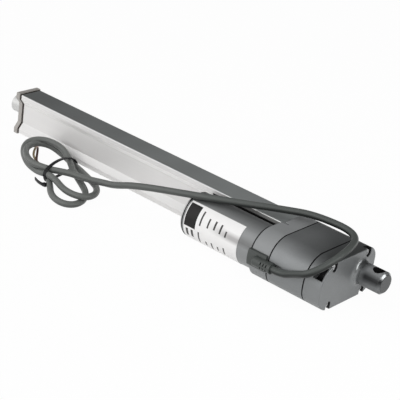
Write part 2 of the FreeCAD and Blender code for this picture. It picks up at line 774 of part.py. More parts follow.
# Idler gear on its fixed pin
wheel_phase = motor_to_idler + math.pi + math.pi / wheel_teeth
big = gear(wheel_teeth, wheel_x0, wheel_x1, idler_y, idler_z, wheel_phase)
small = gear(idler_teeth, wheel_x0 + 1, idler_x1, idler_y, idler_z, idler_to_screw)
rim = gear_module * (wheel_teeth / 2 - dedendum) - wheel_rim
hub = gear_module * idler_teeth / 2 + idler_hub_wall
dish_depth = (wheel_x1 - wheel_x0 - wheel_web) / 2
big = big.cut(tube(rim, hub, wheel_x0 - 1, wheel_x0 + dish_depth, idler_y, idler_z))
big = big.cut(tube(rim, hub, wheel_x1 - dish_depth, wheel_x1 + 1, idler_y, idler_z))
idler = big.fuse(small)
idler_hole = idler_pin_radius + running_gap
idler = idler.cut(cylinder(idler_hole, wheel_x0 - 1, idler_x1 + 1, idler_y, idler_z))
nodes["idler_gear"] = idler.removeSplitter()
nodes["idler_pin"] = cylinder(idler_pin_radius, idler_pin_x0, idler_pin_x1, idler_y, idler_z)

# Motor shell
nodes["motor_can"] = tube(motor_radius, can_inner, motor_seat_x, can_end_x, motor_y, motor_z)
plate_x1 = motor_seat_x + front_plate_thick
plate = cylinder(can_inner, motor_seat_x, plate_x1, motor_y, motor_z)
plate = plate.fuse(cylinder(motor_boss_radius, motor_boss_x, motor_seat_x + 1, motor_y, motor_z))
plate = plate.cut(cylinder(front_bush, motor_boss_x - 1, plate_x1 + 1, motor_y, motor_z))
nodes["motor_front_plate"] = plate.removeSplitter()
nodes["motor_seal_ring"] = tube(motor_radius, lip_radius, can_end_x, seal_ring_x1, motor_y, motor_z)
cap_end = cylinder(end_cap_radius, seal_ring_x1, motor_end_x, motor_y, motor_z)
cap_end = cap_end.makeFillet(end_cap_edge, edges_at_x(cap_end, motor_end_x))
spigot_x0 = can_end_x - end_cap_spigot
cap_end = cap_end.fuse(cylinder(lip_radius, spigot_x0, seal_ring_x1, motor_y, motor_z))
rear_boss_x = commutator_x1 + end_boss_gap
end_boss = front_bush + end_boss_wall
cap_end = cap_end.fuse(cylinder(end_boss, rear_boss_x, spigot_x0 + 0.5, motor_y, motor_z))
cap_end = cap_end.cut(cylinder(front_bush, rear_boss_x - 1, shaft_end_x + 1, motor_y, motor_z))
nodes["motor_end_cap"] = cap_end.removeSplitter()
nodes["motor_bushes"] = group([
    tube(front_bush, shaft_bore, motor_boss_x, plate_x1, motor_y, motor_z),
    tube(front_bush, shaft_bore, rear_boss_x, shaft_end_x, motor_y, motor_z),
    tube(outboard_bush, tip_bore, outboard_bush_x0, outboard_boss_x, motor_y, motor_z),
])
magnet_x0 = core_x0 - magnet_over
magnet_x1 = core_x1 + magnet_over
magnet = tube(can_inner, can_inner - magnet_thick, magnet_x0, magnet_x1, motor_y, motor_z)
gap_low_z = motor_z - magnet_gap_half
gap_top_z = motor_z + magnet_gap_half
gap_y0 = motor_y - motor_radius
gap_y1 = motor_y + motor_radius
gap = box(magnet_x0 - 1, magnet_x1 + 1, gap_y0, gap_y1, gap_low_z, gap_top_z)
nodes["motor_magnets"] = group(magnet.cut(gap).Solids)
plate = cylinder(can_inner, brush_plate_x0, brush_plate_x1, motor_y, motor_z)
brush_hole = commutator_radius + brush_plate_gap
plate_hole = cylinder(brush_hole, brush_plate_x0 - 1, brush_plate_x1 + 1, motor_y, motor_z)
nodes["brush_plate"] = plate.cut(plate_hole)
brushes = []
for side in (1, -1):
    y0 = motor_y + side * (commutator_radius + running_gap)
    y1 = motor_y + side * (commutator_radius + brush_length)
    brush_low = motor_z - brush_width / 2
    brush_x0 = brush_plate_x0 - brush_thick
    brush_top = motor_z + brush_width / 2
    brush = box(brush_x0, brush_plate_x0, min(y0, y1) - 1, max(y0, y1) + 1, brush_low, brush_top)
    worn = cylinder(commutator_radius + running_gap, brush_x0 - 1, brush_plate_x1, motor_y, motor_z)
    brushes.append(brush.cut(worn))
nodes["motor_brushes"] = group(brushes)
label_x0 = rim_x + label_start
label_x1 = can_end_x - label_end_in
label_inner = motor_radius + label_gap
wrap = tube(label_inner + label_thick, label_inner, label_x0, label_x1, motor_y, motor_z)
wedge = [(motor_y, motor_z)]
steps = 24
for k in range(steps + 1):
    a = math.radians(label_low_angle + (label_top_angle - label_low_angle) * k / steps)
    wedge.append((motor_y + 2 * motor_radius * math.cos(a), motor_z + 2 * motor_radius * math.sin(a)))
nodes["rating_label"] = wrap.common(prism(wedge, label_x0 - 1, label_x1 + 1))

# Rotor
shaft_tip_x = outboard_boss_x - shaft_tip_in
shaft_step_x = pinion_x1 + shaft_step_out
shaft = cylinder(shaft_tip_radius, shaft_tip_x, shaft_step_x + 1, motor_y, motor_z)
shaft = shaft.fuse(cylinder(shaft_radius, shaft_step_x, shaft_end_x, motor_y, motor_z))
nodes["rotor_shaft"] = shaft.removeSplitter()
core = tube(core_radius, shaft_radius, core_x0, core_x1, motor_y, motor_z)
coil = tube(winding_outer, winding_inner, core_x0 - winding_end, core_x0, motor_y, motor_z)
coil = coil.fuse(tube(winding_outer, winding_inner, core_x1, core_x1 + winding_end, motor_y, motor_z))
for k in range(slot_count):
    a = 360.0 * k / slot_count
    rim_z = motor_z + core_radius
    side_y = motor_y - slot_width / 2
    bar = box(core_x0, core_x1, side_y, side_y + slot_width, rim_z - slot_depth, rim_z - slot_roof)
    mouth_z = rim_z - slot_roof - 0.5
    mouth = box(core_x0, core_x1, motor_y - slot_mouth_half, motor_y + slot_mouth_half, mouth_z, rim_z + 1)
    for piece in (bar, mouth):
        piece.rotate(V(0, motor_y, motor_z), V(1, 0, 0), a)
    core = core.cut(bar).cut(mouth)
    coil = coil.fuse(bar)
nodes["rotor_core"] = core.removeSplitter()
nodes["rotor_winding"] = coil.removeSplitter()
copper = tube(commutator_radius, shaft_radius, commutator_x0, commutator_x1, motor_y, motor_z)
nodes["commutator"] = copper
pinion = gear(pinion_teeth, pinion_x0, pinion_x1, motor_y, motor_z, motor_to_idler)
pinion_hole = cylinder(shaft_tip_radius, pinion_x0 - 1, pinion_x1 + 1, motor_y, motor_z)
nodes["drive_pinion"] = pinion.cut(pinion_hole)

# Limit switches on a strip under the rod
strip_x0 = profile_start_x + strip_end_gap
strip_x1 = bush_x0 - strip_end_gap
strip = box(strip_x0, strip_x1, -strip_half, strip_half, chamber_z, chamber_z + strip_thick)
nodes["switch_strip"] = strip
switch_top = chamber_z + strip_thick + switch_height
switches = []
far_switch_x = nut_x1 + stroke - switch_length - switch_in
for x0 in (nut_x0 + switch_in, far_switch_x):
    half = switch_width / 2
    body = box(x0, x0 + switch_length, -half, half, chamber_z + strip_thick, switch_top)
    button_foot = V(x0 + switch_length / 2, 0, switch_top)
    button = Part.makeCylinder(button_radius, button_height, button_foot, V(0, 0, 1))
    switches.append(body.fuse(button).removeSplitter())
nodes["limit_switches"] = group(switches)

# Moulded strain relief let into the front housing
pad = box(relief_x0, relief_x1, motor_y, relief_far_y, relief_low_z, relief_top_z)
pad = pad.common(tube(relief_outer, motor_radius, relief_x0 - 5, relief_x1 + 5, motor_y, motor_z))
boot = cylinder(boot_radius, boot_x0, boot_x1, boot_y, boot_z)
boot = boot.makeFillet(boot_end_round, edges_at_x(boot, boot_x1))
boot = boot.cut(cylinder(motor_radius, relief_x0, boot_x1 + 5, motor_y, motor_z))
relief = pad.fuse(boot)
for k in range(3):
    x0 = boot_x0 + boot_slot_first + boot_slot_pitch * k
    y0 = boot_y + boot_slot_floor
    for z0 in (boot_z + boot_slot_low, boot_z - boot_slot_high):
        z1 = z0 + boot_slot_high - boot_slot_low
        relief = relief.cut(box(x0, x0 + boot_slot_width, y0, relief_far_y, z0, z1))
nodes["strain_relief"] = relief.removeSplitter()

# Cord with its tied hank and bared cores
cord_exit = [(boot_x0, boot_y, boot_z), (boot_x0 - cord_exit_run, boot_y, boot_z)]
nodes["cable"] = bent_tube(cord_exit + cord_route, cord_radius)
hank_z = floor_z + tie_thick + hank_radius
straight = hank_half_length - hank_half_width
parts = []
for side in (1, -1):
    parts.append(cylinder(hank_radius, -straight, straight, side * hank_half_width))
    bend = Part.makeTorus(hank_half_width, hank_radius, V(0, 0, 0), V(0, 0, 1), 0, 360, 180)
    bend.rotate(V(0, 0, 0), V(0, 0, 1), -90 if side > 0 else 90)
    bend.translate(V(side * straight, 0, 0))
    parts.append(bend)
hank = parts[0].fuse(parts[1:]).removeSplitter()
tie_x1 = tie_along + tie_width
tie_outer = hank_radius + tie_thick
tie = box(tie_along, tie_x1, -hank_half_width, hank_half_width, -tie_outer, tie_outer)
inside = box(tie_along - 1, tie_x1 + 1, -hank_half_width, hank_half_width, -hank_radius, hank_radius)
for side in (1, -1):
    tie = tie.fuse(cylinder(tie_outer, tie_along, tie_x1, side * hank_half_width))
    inside = inside.fuse(cylinder(hank_radius, tie_along - 1, tie_x1 + 1, side * hank_half_width))
tie = tie.cut(inside)
head_y0 = tie_head_place - tie_head_length / 2
head_x = (tie_along - tie_head_extra, tie_x1 + tie_head_extra)
tie = tie.fuse(box(*head_x, head_y0, head_y0 + tie_head_length, hank_radius, hank_radius + tie_head_height))
for shape in (hank, tie):
    shape.rotate(V(0, 0, 0), V(0, 0, 1), hank_turn)
    shape.translate(V(hank_x, hank_y, hank_z))
nodes["cable_hank"] = hank
nodes["cable_tie"] = tie.removeSplitter()
for name, route in zip(("core_wire_a", "core_wire_b"), core_wire_routes):
    nodes[name] = bent_tube(route, core_wire_radius)

os.makedirs("parts", exist_ok=True)
for name, shape in nodes.items():
    solids = shape.Solids
    good = all(s.isValid() and s.Volume > 0 for s in solids)
    box_now = shape.BoundBox
    ends = (box_now.XMin, box_now.XMax, box_now.YMin, box_now.YMax, box_now.ZMin, box_now.ZMax)
    volume = sum(s.Volume for s in solids)
    state = "valid" if good else "NOT VALID"
    print(name, len(solids), "solids", state, round(volume, 1), [round(v, 1) for v in ends])
    shape.exportStep("parts/" + name + ".step")
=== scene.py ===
import math

import bmesh
import bpy
from mathutils import Matrix, Vector


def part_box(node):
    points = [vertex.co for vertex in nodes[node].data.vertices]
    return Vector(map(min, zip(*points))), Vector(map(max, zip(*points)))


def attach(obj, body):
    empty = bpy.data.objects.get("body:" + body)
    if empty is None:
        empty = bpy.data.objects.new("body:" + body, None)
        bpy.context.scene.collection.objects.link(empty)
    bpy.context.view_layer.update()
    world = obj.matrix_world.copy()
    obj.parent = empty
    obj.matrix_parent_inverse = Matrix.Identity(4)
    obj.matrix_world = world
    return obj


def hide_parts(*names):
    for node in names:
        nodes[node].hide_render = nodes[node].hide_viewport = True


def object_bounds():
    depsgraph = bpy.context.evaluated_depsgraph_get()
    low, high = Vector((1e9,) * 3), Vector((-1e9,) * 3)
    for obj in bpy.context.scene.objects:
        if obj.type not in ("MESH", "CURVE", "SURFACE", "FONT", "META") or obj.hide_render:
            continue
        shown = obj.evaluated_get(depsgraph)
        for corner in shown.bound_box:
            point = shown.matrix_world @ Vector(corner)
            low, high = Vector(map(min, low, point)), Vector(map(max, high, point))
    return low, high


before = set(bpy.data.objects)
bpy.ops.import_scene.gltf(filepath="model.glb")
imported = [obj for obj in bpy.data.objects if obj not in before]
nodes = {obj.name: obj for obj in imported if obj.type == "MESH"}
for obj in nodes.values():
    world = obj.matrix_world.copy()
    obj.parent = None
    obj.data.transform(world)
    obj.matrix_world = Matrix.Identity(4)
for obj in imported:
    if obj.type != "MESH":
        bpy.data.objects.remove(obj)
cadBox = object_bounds()
mm = 0.001
print("frame loaded:", len(nodes), "nodes")


def addObject(name, data):
    made = bpy.data.objects.new(name, data)
    bpy.context.scene.collection.objects.link(made)
    return made


def aimed(place, aim):
    turn = (aim - place).to_track_quat("-Z", "Y")
    return Matrix.Translation(place) @ turn.to_matrix().to_4x4()


def boxOf(node):  # its low and high corners, mm
    return [[value / mm for value in corner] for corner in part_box(node)]


def spanX(node):  # where it starts and ends along X, mm
    low, high = boxOf(node)
    return low[0], high[0]


# Camera, set to the photograph's view
cameraView = {
    "place": (-478.2, 856.1, 493.4),  # mm
    "aim": (186.6, 12.5, 0.0),
    "roll": 8.36,  # degrees
    "lens": 118.34,
    "sensor": 36.0,
    "reach": 20.0,  # metres
}


def addCamera(view):
    data = bpy.data.cameras.new("pictureCamera")
    data.lens = view["lens"]
    data.sensor_width = view["sensor"]
    data.clip_end = view["reach"]
    camera = addObject("pictureCamera", data)
    roll = Matrix.Rotation(math.radians(view["roll"]), 4, "Z")
    camera.matrix_world = aimed(Vector(view["place"]) * mm, Vector(view["aim"]) * mm) @ roll
    bpy.context.scene.camera = camera


addCamera(cameraView)
print("camera set")


# A socket that takes part in sums
class Wire:
    def __init__(self, graph, socket):
        self.graph = graph
        self.socket = socket

    def __add__(self, other):
        return self.graph.maths("ADD", self, other)

    def __sub__(self, other):
        return self.graph.maths("SUBTRACT", self, other)

    def __rsub__(self, other):
        return self.graph.maths("SUBTRACT", other, self)

    def __mul__(self, other):
        return self.graph.maths("MULTIPLY", self, other)

    def __gt__(self, other):
        return self.graph.maths("GREATER_THAN", self, other)

    def __lt__(self, other):
        return self.graph.maths("LESS_THAN", self, other)

    __radd__ = __add__
    __rmul__ = __mul__


# The nodes of one tree
class Graph:
    def __init__(self, tree):
        self.tree = tree

    def node(self, kind, settings=None, inputs=None, out=0):
        made = self.tree.nodes.new(kind)
        for key, value in (settings or {}).items():
            if key == "stops":
                self.setStops(made.color_ramp.elements, value)
            else:
                setattr(made, key, value)
        for key, value in (inputs or {}).items():
            self.join(value, made.inputs[key])
        return Wire(self, made.outputs[out])

    def setStops(self, elements, stops):
        while len(elements) < len(stops):
            elements.new(0.5)
        for element, (place, tone) in zip(elements, stops):
            element.position = place
            element.color = (tone, tone, tone, 1.0)

    def join(self, value, socket):
        if isinstance(value, Wire):
            self.tree.links.new(value.socket, socket)
        elif isinstance(value, tuple) and len(value) == 3 and socket.type == "RGBA":
            socket.default_value = (*value, 1.0)
        else:
            socket.default_value = value

    def maths(self, operation, a, b):
        return self.node("ShaderNodeMath", {"operation": operation}, {0: a, 1: b})

    def mixColour(self, share, a, b):
        return self.node("ShaderNodeMix", {"data_type": "RGBA"}, {0: share, 6: a, 7: b}, out=2)

    def axes(self, wire):
        split = self.node("ShaderNodeSeparateXYZ", None, {"Vector": wire})
        return [Wire(self, socket) for socket in split.socket.node.outputs]


noiseRange = (0.3, 0.7)  # where most noise values lie
edgeSamples = 6  # for the rounding of corners


# A material and the nodes that feed its shader
class Finish(Graph):
    def __init__(self, name, **plain):
        self.material = bpy.data.materials.new(name)
        self.material.use_nodes = True
        super().__init__(self.material.node_tree)
        self.shader = self.tree.nodes["Principled BSDF"]
        self.place = self.node("ShaderNodeTexCoord", out="Object")
        for socket, value in plain.items():
            self.feed(socket.replace("_", " "), value)

    def feed(self, name, value):
        self.join(value, self.shader.inputs[name])

    def stretched(self, scale):
        return self.node("ShaderNodeVectorMath", {"operation": "MULTIPLY"}, {0: self.place, 1: scale})

    def noise(self, scale, detail=3.0, rough=0.55, vector=None):
        inputs = {"Vector": vector or self.place, "Scale": scale, "Detail": detail, "Roughness": rough}
        return self.node("ShaderNodeTexNoise", None, inputs, out="Fac")

    def spread(self, value, low, high):
        least, most = noiseRange
        inputs = {"Value": value, "From Min": least, "From Max": most, "To Min": low, "To Max": high}
        return self.node("ShaderNodeMapRange", None, inputs)

    def slope(self, value, start, stop, unit=mm):
        inputs = {"Value": value, "From Min": start * unit, "From Max": stop * unit}
        return self.node("ShaderNodeMapRange", None, inputs)

    def hump(self, value, low, lowFull, highFull, high, unit=mm):
        return self.slope(value, low, lowFull, unit) * self.slope(value, high, highFull, unit)

    def between(self, value, low, high, unit=mm):
        return (value > low * unit) * (value < high * unit)

    def inRound(self, a, b, centre, radius):
        outA = a - centre[0] * mm
        outB = b - centre[1] * mm
        return (outA * outA + outB * outB) < (radius * mm) ** 2

    def facing(self, start, stop):  # by how far a face looks up
        normal = self.node("ShaderNodeNewGeometry", out="Normal")
        return self.slope(self.axes(normal)[2], start, stop, 1.0)

    def bump(self, height, strength, distance, edge=0.0):
        inputs = {"Height": height, "Strength": strength, "Distance": distance}
        if edge:
            inputs["Normal"] = self.node("ShaderNodeBevel", {"samples": edgeSamples}, {"Radius": edge})
        self.feed("Normal", self.node("ShaderNodeBump", None, inputs))


# Satin paint: two close tones, a faint orange peel and a speckle of flake
paintLooks = {
    "castingPaint": {
        "dark": (0.192, 0.199, 0.202), "light": (0.242, 0.251, 0.254),
        "metal": 0.62, "rough": (0.40, 0.52), "edge": 0.0009,  # rounding of the corners, metres
    },
    "housingPaint": {
        "dark": (0.225, 0.232, 0.235), "light": (0.278, 0.286, 0.289),
        "metal": 0.12, "rough": (0.46, 0.58), "edge": 0.0009,
    },
    "motorPaint": {
        "dark": (0.242, 0.249, 0.251), "light": (0.298, 0.306, 0.308),
        "metal": 0.78, "rough": (0.36, 0.46), "edge": 0.0,
    },
}
paintGrain = {
    "cloud": (60.0, 4.0),  # noise scale and detail
    "flake": (5200.0, 1.0),
    "mottle": (900.0, 2.0),
    "peel": (1500.0, 2.0),
    "flakeShare": 0.3,
    "bump": (0.12, 0.0002),  # strength, then distance in metres
}

# Painted shade in the joints and hollows of the castings, and on the motor where it leaves the front
# housing, mm
recessShadeLook = {
    "tone": (0.012, 0.012, 0.013),
    "gaskets": ("cover_gasket", "case_gasket"),
    "gasketRim": 0.1,  # how far the dark goes past each face
    "collar": (-0.3, 1.5),  # round the motor, from the front housing's end
    "pocketX": (-1.4, 3.1),  # from the rear of the cover screws
    "pocketRim": 0.6,  # round their heads
    "pocketWidth": 6.8,
    "scoopX": (19.25, 28.7),
    "scoopCentre": (47.9, 9.64),
    "scoopRadius": 6.1,
    "pivotCentre": (0.0, 0.0),
    "pivotRadius": 5.2,
}


def seamShadeMask(paint, x):
    start, stop = recessShadeLook["collar"]
    end = spanX("front_housing")[1]
    mask = paint.between(x, end + start, end + stop)
    for gasket in recessShadeLook["gaskets"]:
        start, stop = spanX(gasket)
        mask = mask + paint.between(x, start - recessShadeLook["gasketRim"], stop + recessShadeLook["gasketRim"])
    return mask


def pocketShadeMask(paint, x, y, z):
    low, high = boxOf("cover_screws")
    start, stop = recessShadeLook["pocketX"]
    rim = recessShadeLook["pocketRim"]
    inward = recessShadeLook["pocketWidth"] - rim
    depth = paint.between(x, low[0] + start, low[0] + stop)
    left = paint.between(y, low[1] - rim, low[1] + inward)
    right = paint.between(y, high[1] - inward, high[1] + rim)
    under = z < (low[2] + inward) * mm
    over = z > (high[2] - inward) * mm
    return depth * (left + right) * (under + over)


def hollowShadeMask(paint, x, y, z):
    look = recessShadeLook
    pocket = pocketShadeMask(paint, x, y, z)
    scoop = paint.inRound(y, z, look["scoopCentre"], look["scoopRadius"])
    scoop = scoop * paint.between(x, *look["scoopX"])
    pivot = paint.inRound(x, y, look["pivotCentre"], look["pivotRadius"])
    return pocket + scoop + pivot


# Painted shade: the castings' flat top darkens to the rear, mm
coverTopShadeLook = {
    "topFacing": (0.6, 0.9),
    "topX": (62.0, 20.0),
    "topShadeTone": (0.085, 0.09, 0.09),
}


def coverTopShadeTone(paint, tone, x):
    top = paint.facing(*coverTopShadeLook["topFacing"]) * paint.slope(x, *coverTopShadeLook["topX"])
    return paint.mixColour(top, tone, coverTopShadeLook["topShadeTone"])


# The turned lug, its tones painted light and shade, mm: a darker tone overall, a painted highlight along
# its crown, painted shade underneath, a dark streak of painted reflection along its side, a painted glint
# on the upper edge of the tip and painted shade on the end face
lugLook = {
    "rootX": (12.0, 7.0),
    "tone": (0.17, 0.176, 0.179),
    "highlightZ": (6.0, 9.0),
    "highlightTone": (0.300, 0.310, 0.315),
    "underShadeZ": (-4.0, -7.5),
    "underPaintedTone": (0.085, 0.088, 0.090),
    "reflectionZ": (-2.2, 2.4, 4.2, 7.6),
    "reflectionTone": (0.030, 0.031, 0.032),
    "glintX": (-6.8, -8.2),
    "glintZ": (3.6, 8.0),
    "glintTone": (0.30, 0.31, 0.315),
    "faceX": -8.6,
    "faceShadeTone": (0.064, 0.067, 0.068),
    "polishRoot": ((17.7, 15.5), (10.5, 12.5)),  # turned smooth between these places
    "polishTip": (-6.0, -7.0),
    "polish": 0.6,  # how much less rough
    "smooth": 0.9,  # how much less peel
}


def lugPaintedTone(paint, tone, x, z):
    look = lugLook
    side = x > look["faceX"] * mm
    # painted highlight on the crown, painted shade underneath and on the end face
    lug = paint.mixColour(paint.slope(z, *look["highlightZ"]), look["tone"], look["highlightTone"])
    lug = paint.mixColour(paint.slope(z, *look["underShadeZ"]), lug, look["underPaintedTone"])
    lug = paint.mixColour(side, look["faceShadeTone"], lug)
    # a dark streak of painted reflection along the side
    lug = paint.mixColour(paint.hump(z, *look["reflectionZ"]) * side, lug, look["reflectionTone"])
    # a painted glint on the upper edge of the tip
    glint = paint.slope(x, *look["glintX"]) * paint.slope(z, *look["glintZ"]) * side
    lug = paint.mixColour(glint, lug, look["glintTone"])
    return paint.mixColour(paint.slope(x, *look["rootX"]), tone, lug)


def lugPolish(paint, x):
    near, far = lugLook["polishRoot"]
    return paint.slope(x, *near) * paint.slope(x, *far) + paint.slope(x, *lugLook["polishTip"])


# Painted reflection: the motor's paint is darker in a streak along its side
motorLook = {
    "reflectionStreak": (6.0, 17.0, 24.0, 50.0),  # degrees
    "reflectionTone": (0.150, 0.153, 0.153),
}


def motorAngle(finish):  # degrees round the motor's axis
    low, high = boxOf("motor_can")
    y, z = finish.axes(finish.place)[1:]
    outward = y - (low[1] + high[1]) / 2 * mm
    upward = z - (low[2] + high[2]) / 2 * mm
    return finish.maths("ARCTAN2", upward, outward) * math.degrees(1)


def paintFinish(name):
    look = paintLooks[name]
    paint = Finish(name, Metallic=look["metal"])
    cloud = paint.noise(*paintGrain["cloud"])
    flake = paint.noise(*paintGrain["flake"])
    share = paintGrain["flakeShare"]
    tone = paint.mixColour(cloud * (1 - share) + flake * share, look["dark"], look["light"])
    rough = paint.spread(paint.noise(*paintGrain["mottle"]), *look["rough"])
    peel = paint.noise(*paintGrain["peel"]) + flake * share
    x, y, z = paint.axes(paint.place)
    # painted shade: near-black bands along the gaskets and round the motor
    recessShade = seamShadeMask(paint, x)
    if name == "castingPaint":
        # painted shade on the castings' top, then painted light and shade on the lug
        tone = lugPaintedTone(paint, coverTopShadeTone(paint, tone, x), x, z)
        turned = lugPolish(paint, x)
        rough = rough * (1 - turned * lugLook["polish"])
        peel = peel * (1 - turned * lugLook["smooth"])
        # painted shade in the screw pockets, the scoop and the pivot hole
        recessShade = recessShade + hollowShadeMask(paint, x, y, z)
    if name == "motorPaint":
        # painted reflection: a darker streak round the motor
        reflectionStreak = paint.hump(motorAngle(paint), *motorLook["reflectionStreak"], 1.0)
        tone = paint.mixColour(reflectionStreak, tone, motorLook["reflectionTone"])
    # the painted shade goes on as a near-black tone
    tone = paint.mixColour(paint.maths("MINIMUM", recessShade, 1.0), tone, recessShadeLook["tone"])
    paint.feed("Base Color", tone)
    paint.feed("Roughness", rough)
    paint.bump(peel, *paintGrain["bump"], look["edge"])
    return paint.material


# Metal: the base tone wanders a little and fine marks run along one direction
metalLooks = {
    "anodisedProfile": {
        "dark": (0.70, 0.69, 0.685), "light": (0.81, 0.80, 0.79), "metal": 0.35,
        "rough": (0.44, 0.54), "run": (3.0, 700.0, 700.0), "depth": 0.10,
    },
    "rimMetal": {
        "dark": (0.42, 0.42, 0.42), "light": (0.54, 0.54, 0.535), "metal": 0.8,
        "rough": (0.30, 0.42), "run": (900.0, 30.0, 30.0), "depth": 0.10,
    },
    "endMetal": {
        "dark": (0.56, 0.56, 0.555), "light": (0.66, 0.66, 0.65), "metal": 0.45,
        "rough": (0.30, 0.42), "run": (900.0, 30.0, 30.0), "depth": 0.10,
    },
    "screwSteel": {
        "dark": (0.66, 0.665, 0.67), "light": (0.80, 0.805, 0.81), "metal": 0.5,
        "rough": (0.22, 0.36), "run": (500.0, 500.0, 500.0), "depth": 0.08,
    },
    "brightSteel": {
        "dark": (0.56, 0.57, 0.58), "light": (0.70, 0.71, 0.72), "metal": 1.0,
        "rough": (0.20, 0.34), "run": (900.0, 40.0, 40.0), "depth": 0.08,
    },
    "rodChrome": {
        "dark": (0.66, 0.67, 0.69), "light": (0.74, 0.75, 0.77), "metal": 1.0,
        "rough": (0.06, 0.14), "run": (1200.0, 20.0, 20.0), "depth": 0.03,
    },
    "bronze": {
        "dark": (0.42, 0.26, 0.11), "light": (0.56, 0.37, 0.17), "metal": 1.0,
        "rough": (0.30, 0.45), "run": (300.0, 300.0, 300.0), "depth": 0.10,
    },
    "copper": {
        "dark": (0.56, 0.22, 0.10), "light": (0.72, 0.32, 0.16), "metal": 1.0,
        "rough": (0.24, 0.40), "run": (60.0, 900.0, 900.0), "depth": 0.15,
    },
    "lamination": {
        "dark": (0.20, 0.20, 0.21), "light": (0.36, 0.36, 0.37), "metal": 1.0,
        "rough": (0.35, 0.5), "run": (2000.0, 4.0, 4.0), "depth": 0.25,
    },
}
metalGrain = {
    "marks": (1.0, 4.0, 0.6),  # noise scale, detail and roughness
    "cloud": (35.0, 2.0),
    "marksShare": 0.6,
    "roughShare": 0.5,
    "bumpDistance": 0.0001,  # metres
}

# The tube: more metallic on top, stained under the gasket, with painted shade on the top face that
# darkens towards the cap, a painted lighter tone on the slope that faces the floor, and painted shade on
# the flange and in the gap behind the motor, mm
profileLook = {
    "topFacing": (0.55, 0.95),
    "topMetal": 0.6,
    "topX": (160.0, 430.0),  # darker towards the cap
    "topNearShade": (0.600, 0.630, 0.627),
    "topFarShade": (0.320, 0.334, 0.333),
    "underFacing": (-0.2, -0.5),  # the slope that faces the floor
    "underPaintedTone": (0.96, 0.955, 0.945),
    "stain": 1.0,  # back from the gasket
    "stainTone": (0.020, 0.012, 0.009),
    "flangeX": (172.0, 140.0),  # above the gap
    "flangeZ": (13.0, 17.2),
    "flangeShadeTone": (0.25, 0.25, 0.245),
    "gapX": (60.0, 171.0),
    "gapZ": (7.0, 14.1),
    "gapShadeTone": (0.012, 0.012, 0.013),
}


def profileTone(metal, tone, upward):
    look = profileLook
    x, y, z = metal.axes(metal.place)
    motorSide = y > 0.0
    # painted shade on the top face, darker towards the cap
    top = metal.mixColour(metal.slope(x, *look["topX"]), look["topNearShade"], look["topFarShade"])
    tone = metal.mixColour(upward, tone, top)
    # painted light: the slope that faces the floor is lighter
    tone = metal.mixColour(metal.facing(*look["underFacing"]), tone, look["underPaintedTone"])
    # painted shade on the flange above the gap
    flange = metal.between(z, *look["flangeZ"]) * metal.slope(x, *look["flangeX"]) * motorSide
    tone = metal.mixColour(flange, tone, look["flangeShadeTone"])
    stained = x > (spanX("front_gasket")[0] - look["stain"]) * mm
    tone = metal.mixColour(stained, tone, look["stainTone"])
    # painted shade in the gap behind the motor
    gap = metal.between(x, *look["gapX"]) * metal.between(z, *look["gapZ"]) * motorSide
    return metal.mixColour(gap, tone, look["gapShadeTone"])


def metalFinish(name):
    look = metalLooks[name]
    metal = Finish(name, Metallic=look["metal"])
    marks = metal.noise(*metalGrain["marks"], metal.stretched(look["run"]))
    cloud = metal.noise(*metalGrain["cloud"])
    share = metalGrain["marksShare"]
    tone = metal.mixColour(marks * share + cloud * (1 - share), look["dark"], look["light"])
    if name == "anodisedProfile":
        upward = metal.facing(*profileLook["topFacing"])
        tone = profileTone(metal, tone, upward)
        metal.feed("Metallic", upward * profileLook["topMetal"] + look["metal"])
    share = metalGrain["roughShare"]
    metal.feed("Base Color", tone)
    metal.feed("Roughness", metal.spread(marks * share + cloud * (1 - share), *look["rough"]))
    metal.bump(marks, look["depth"], metalGrain["bumpDistance"])
    return metal.material


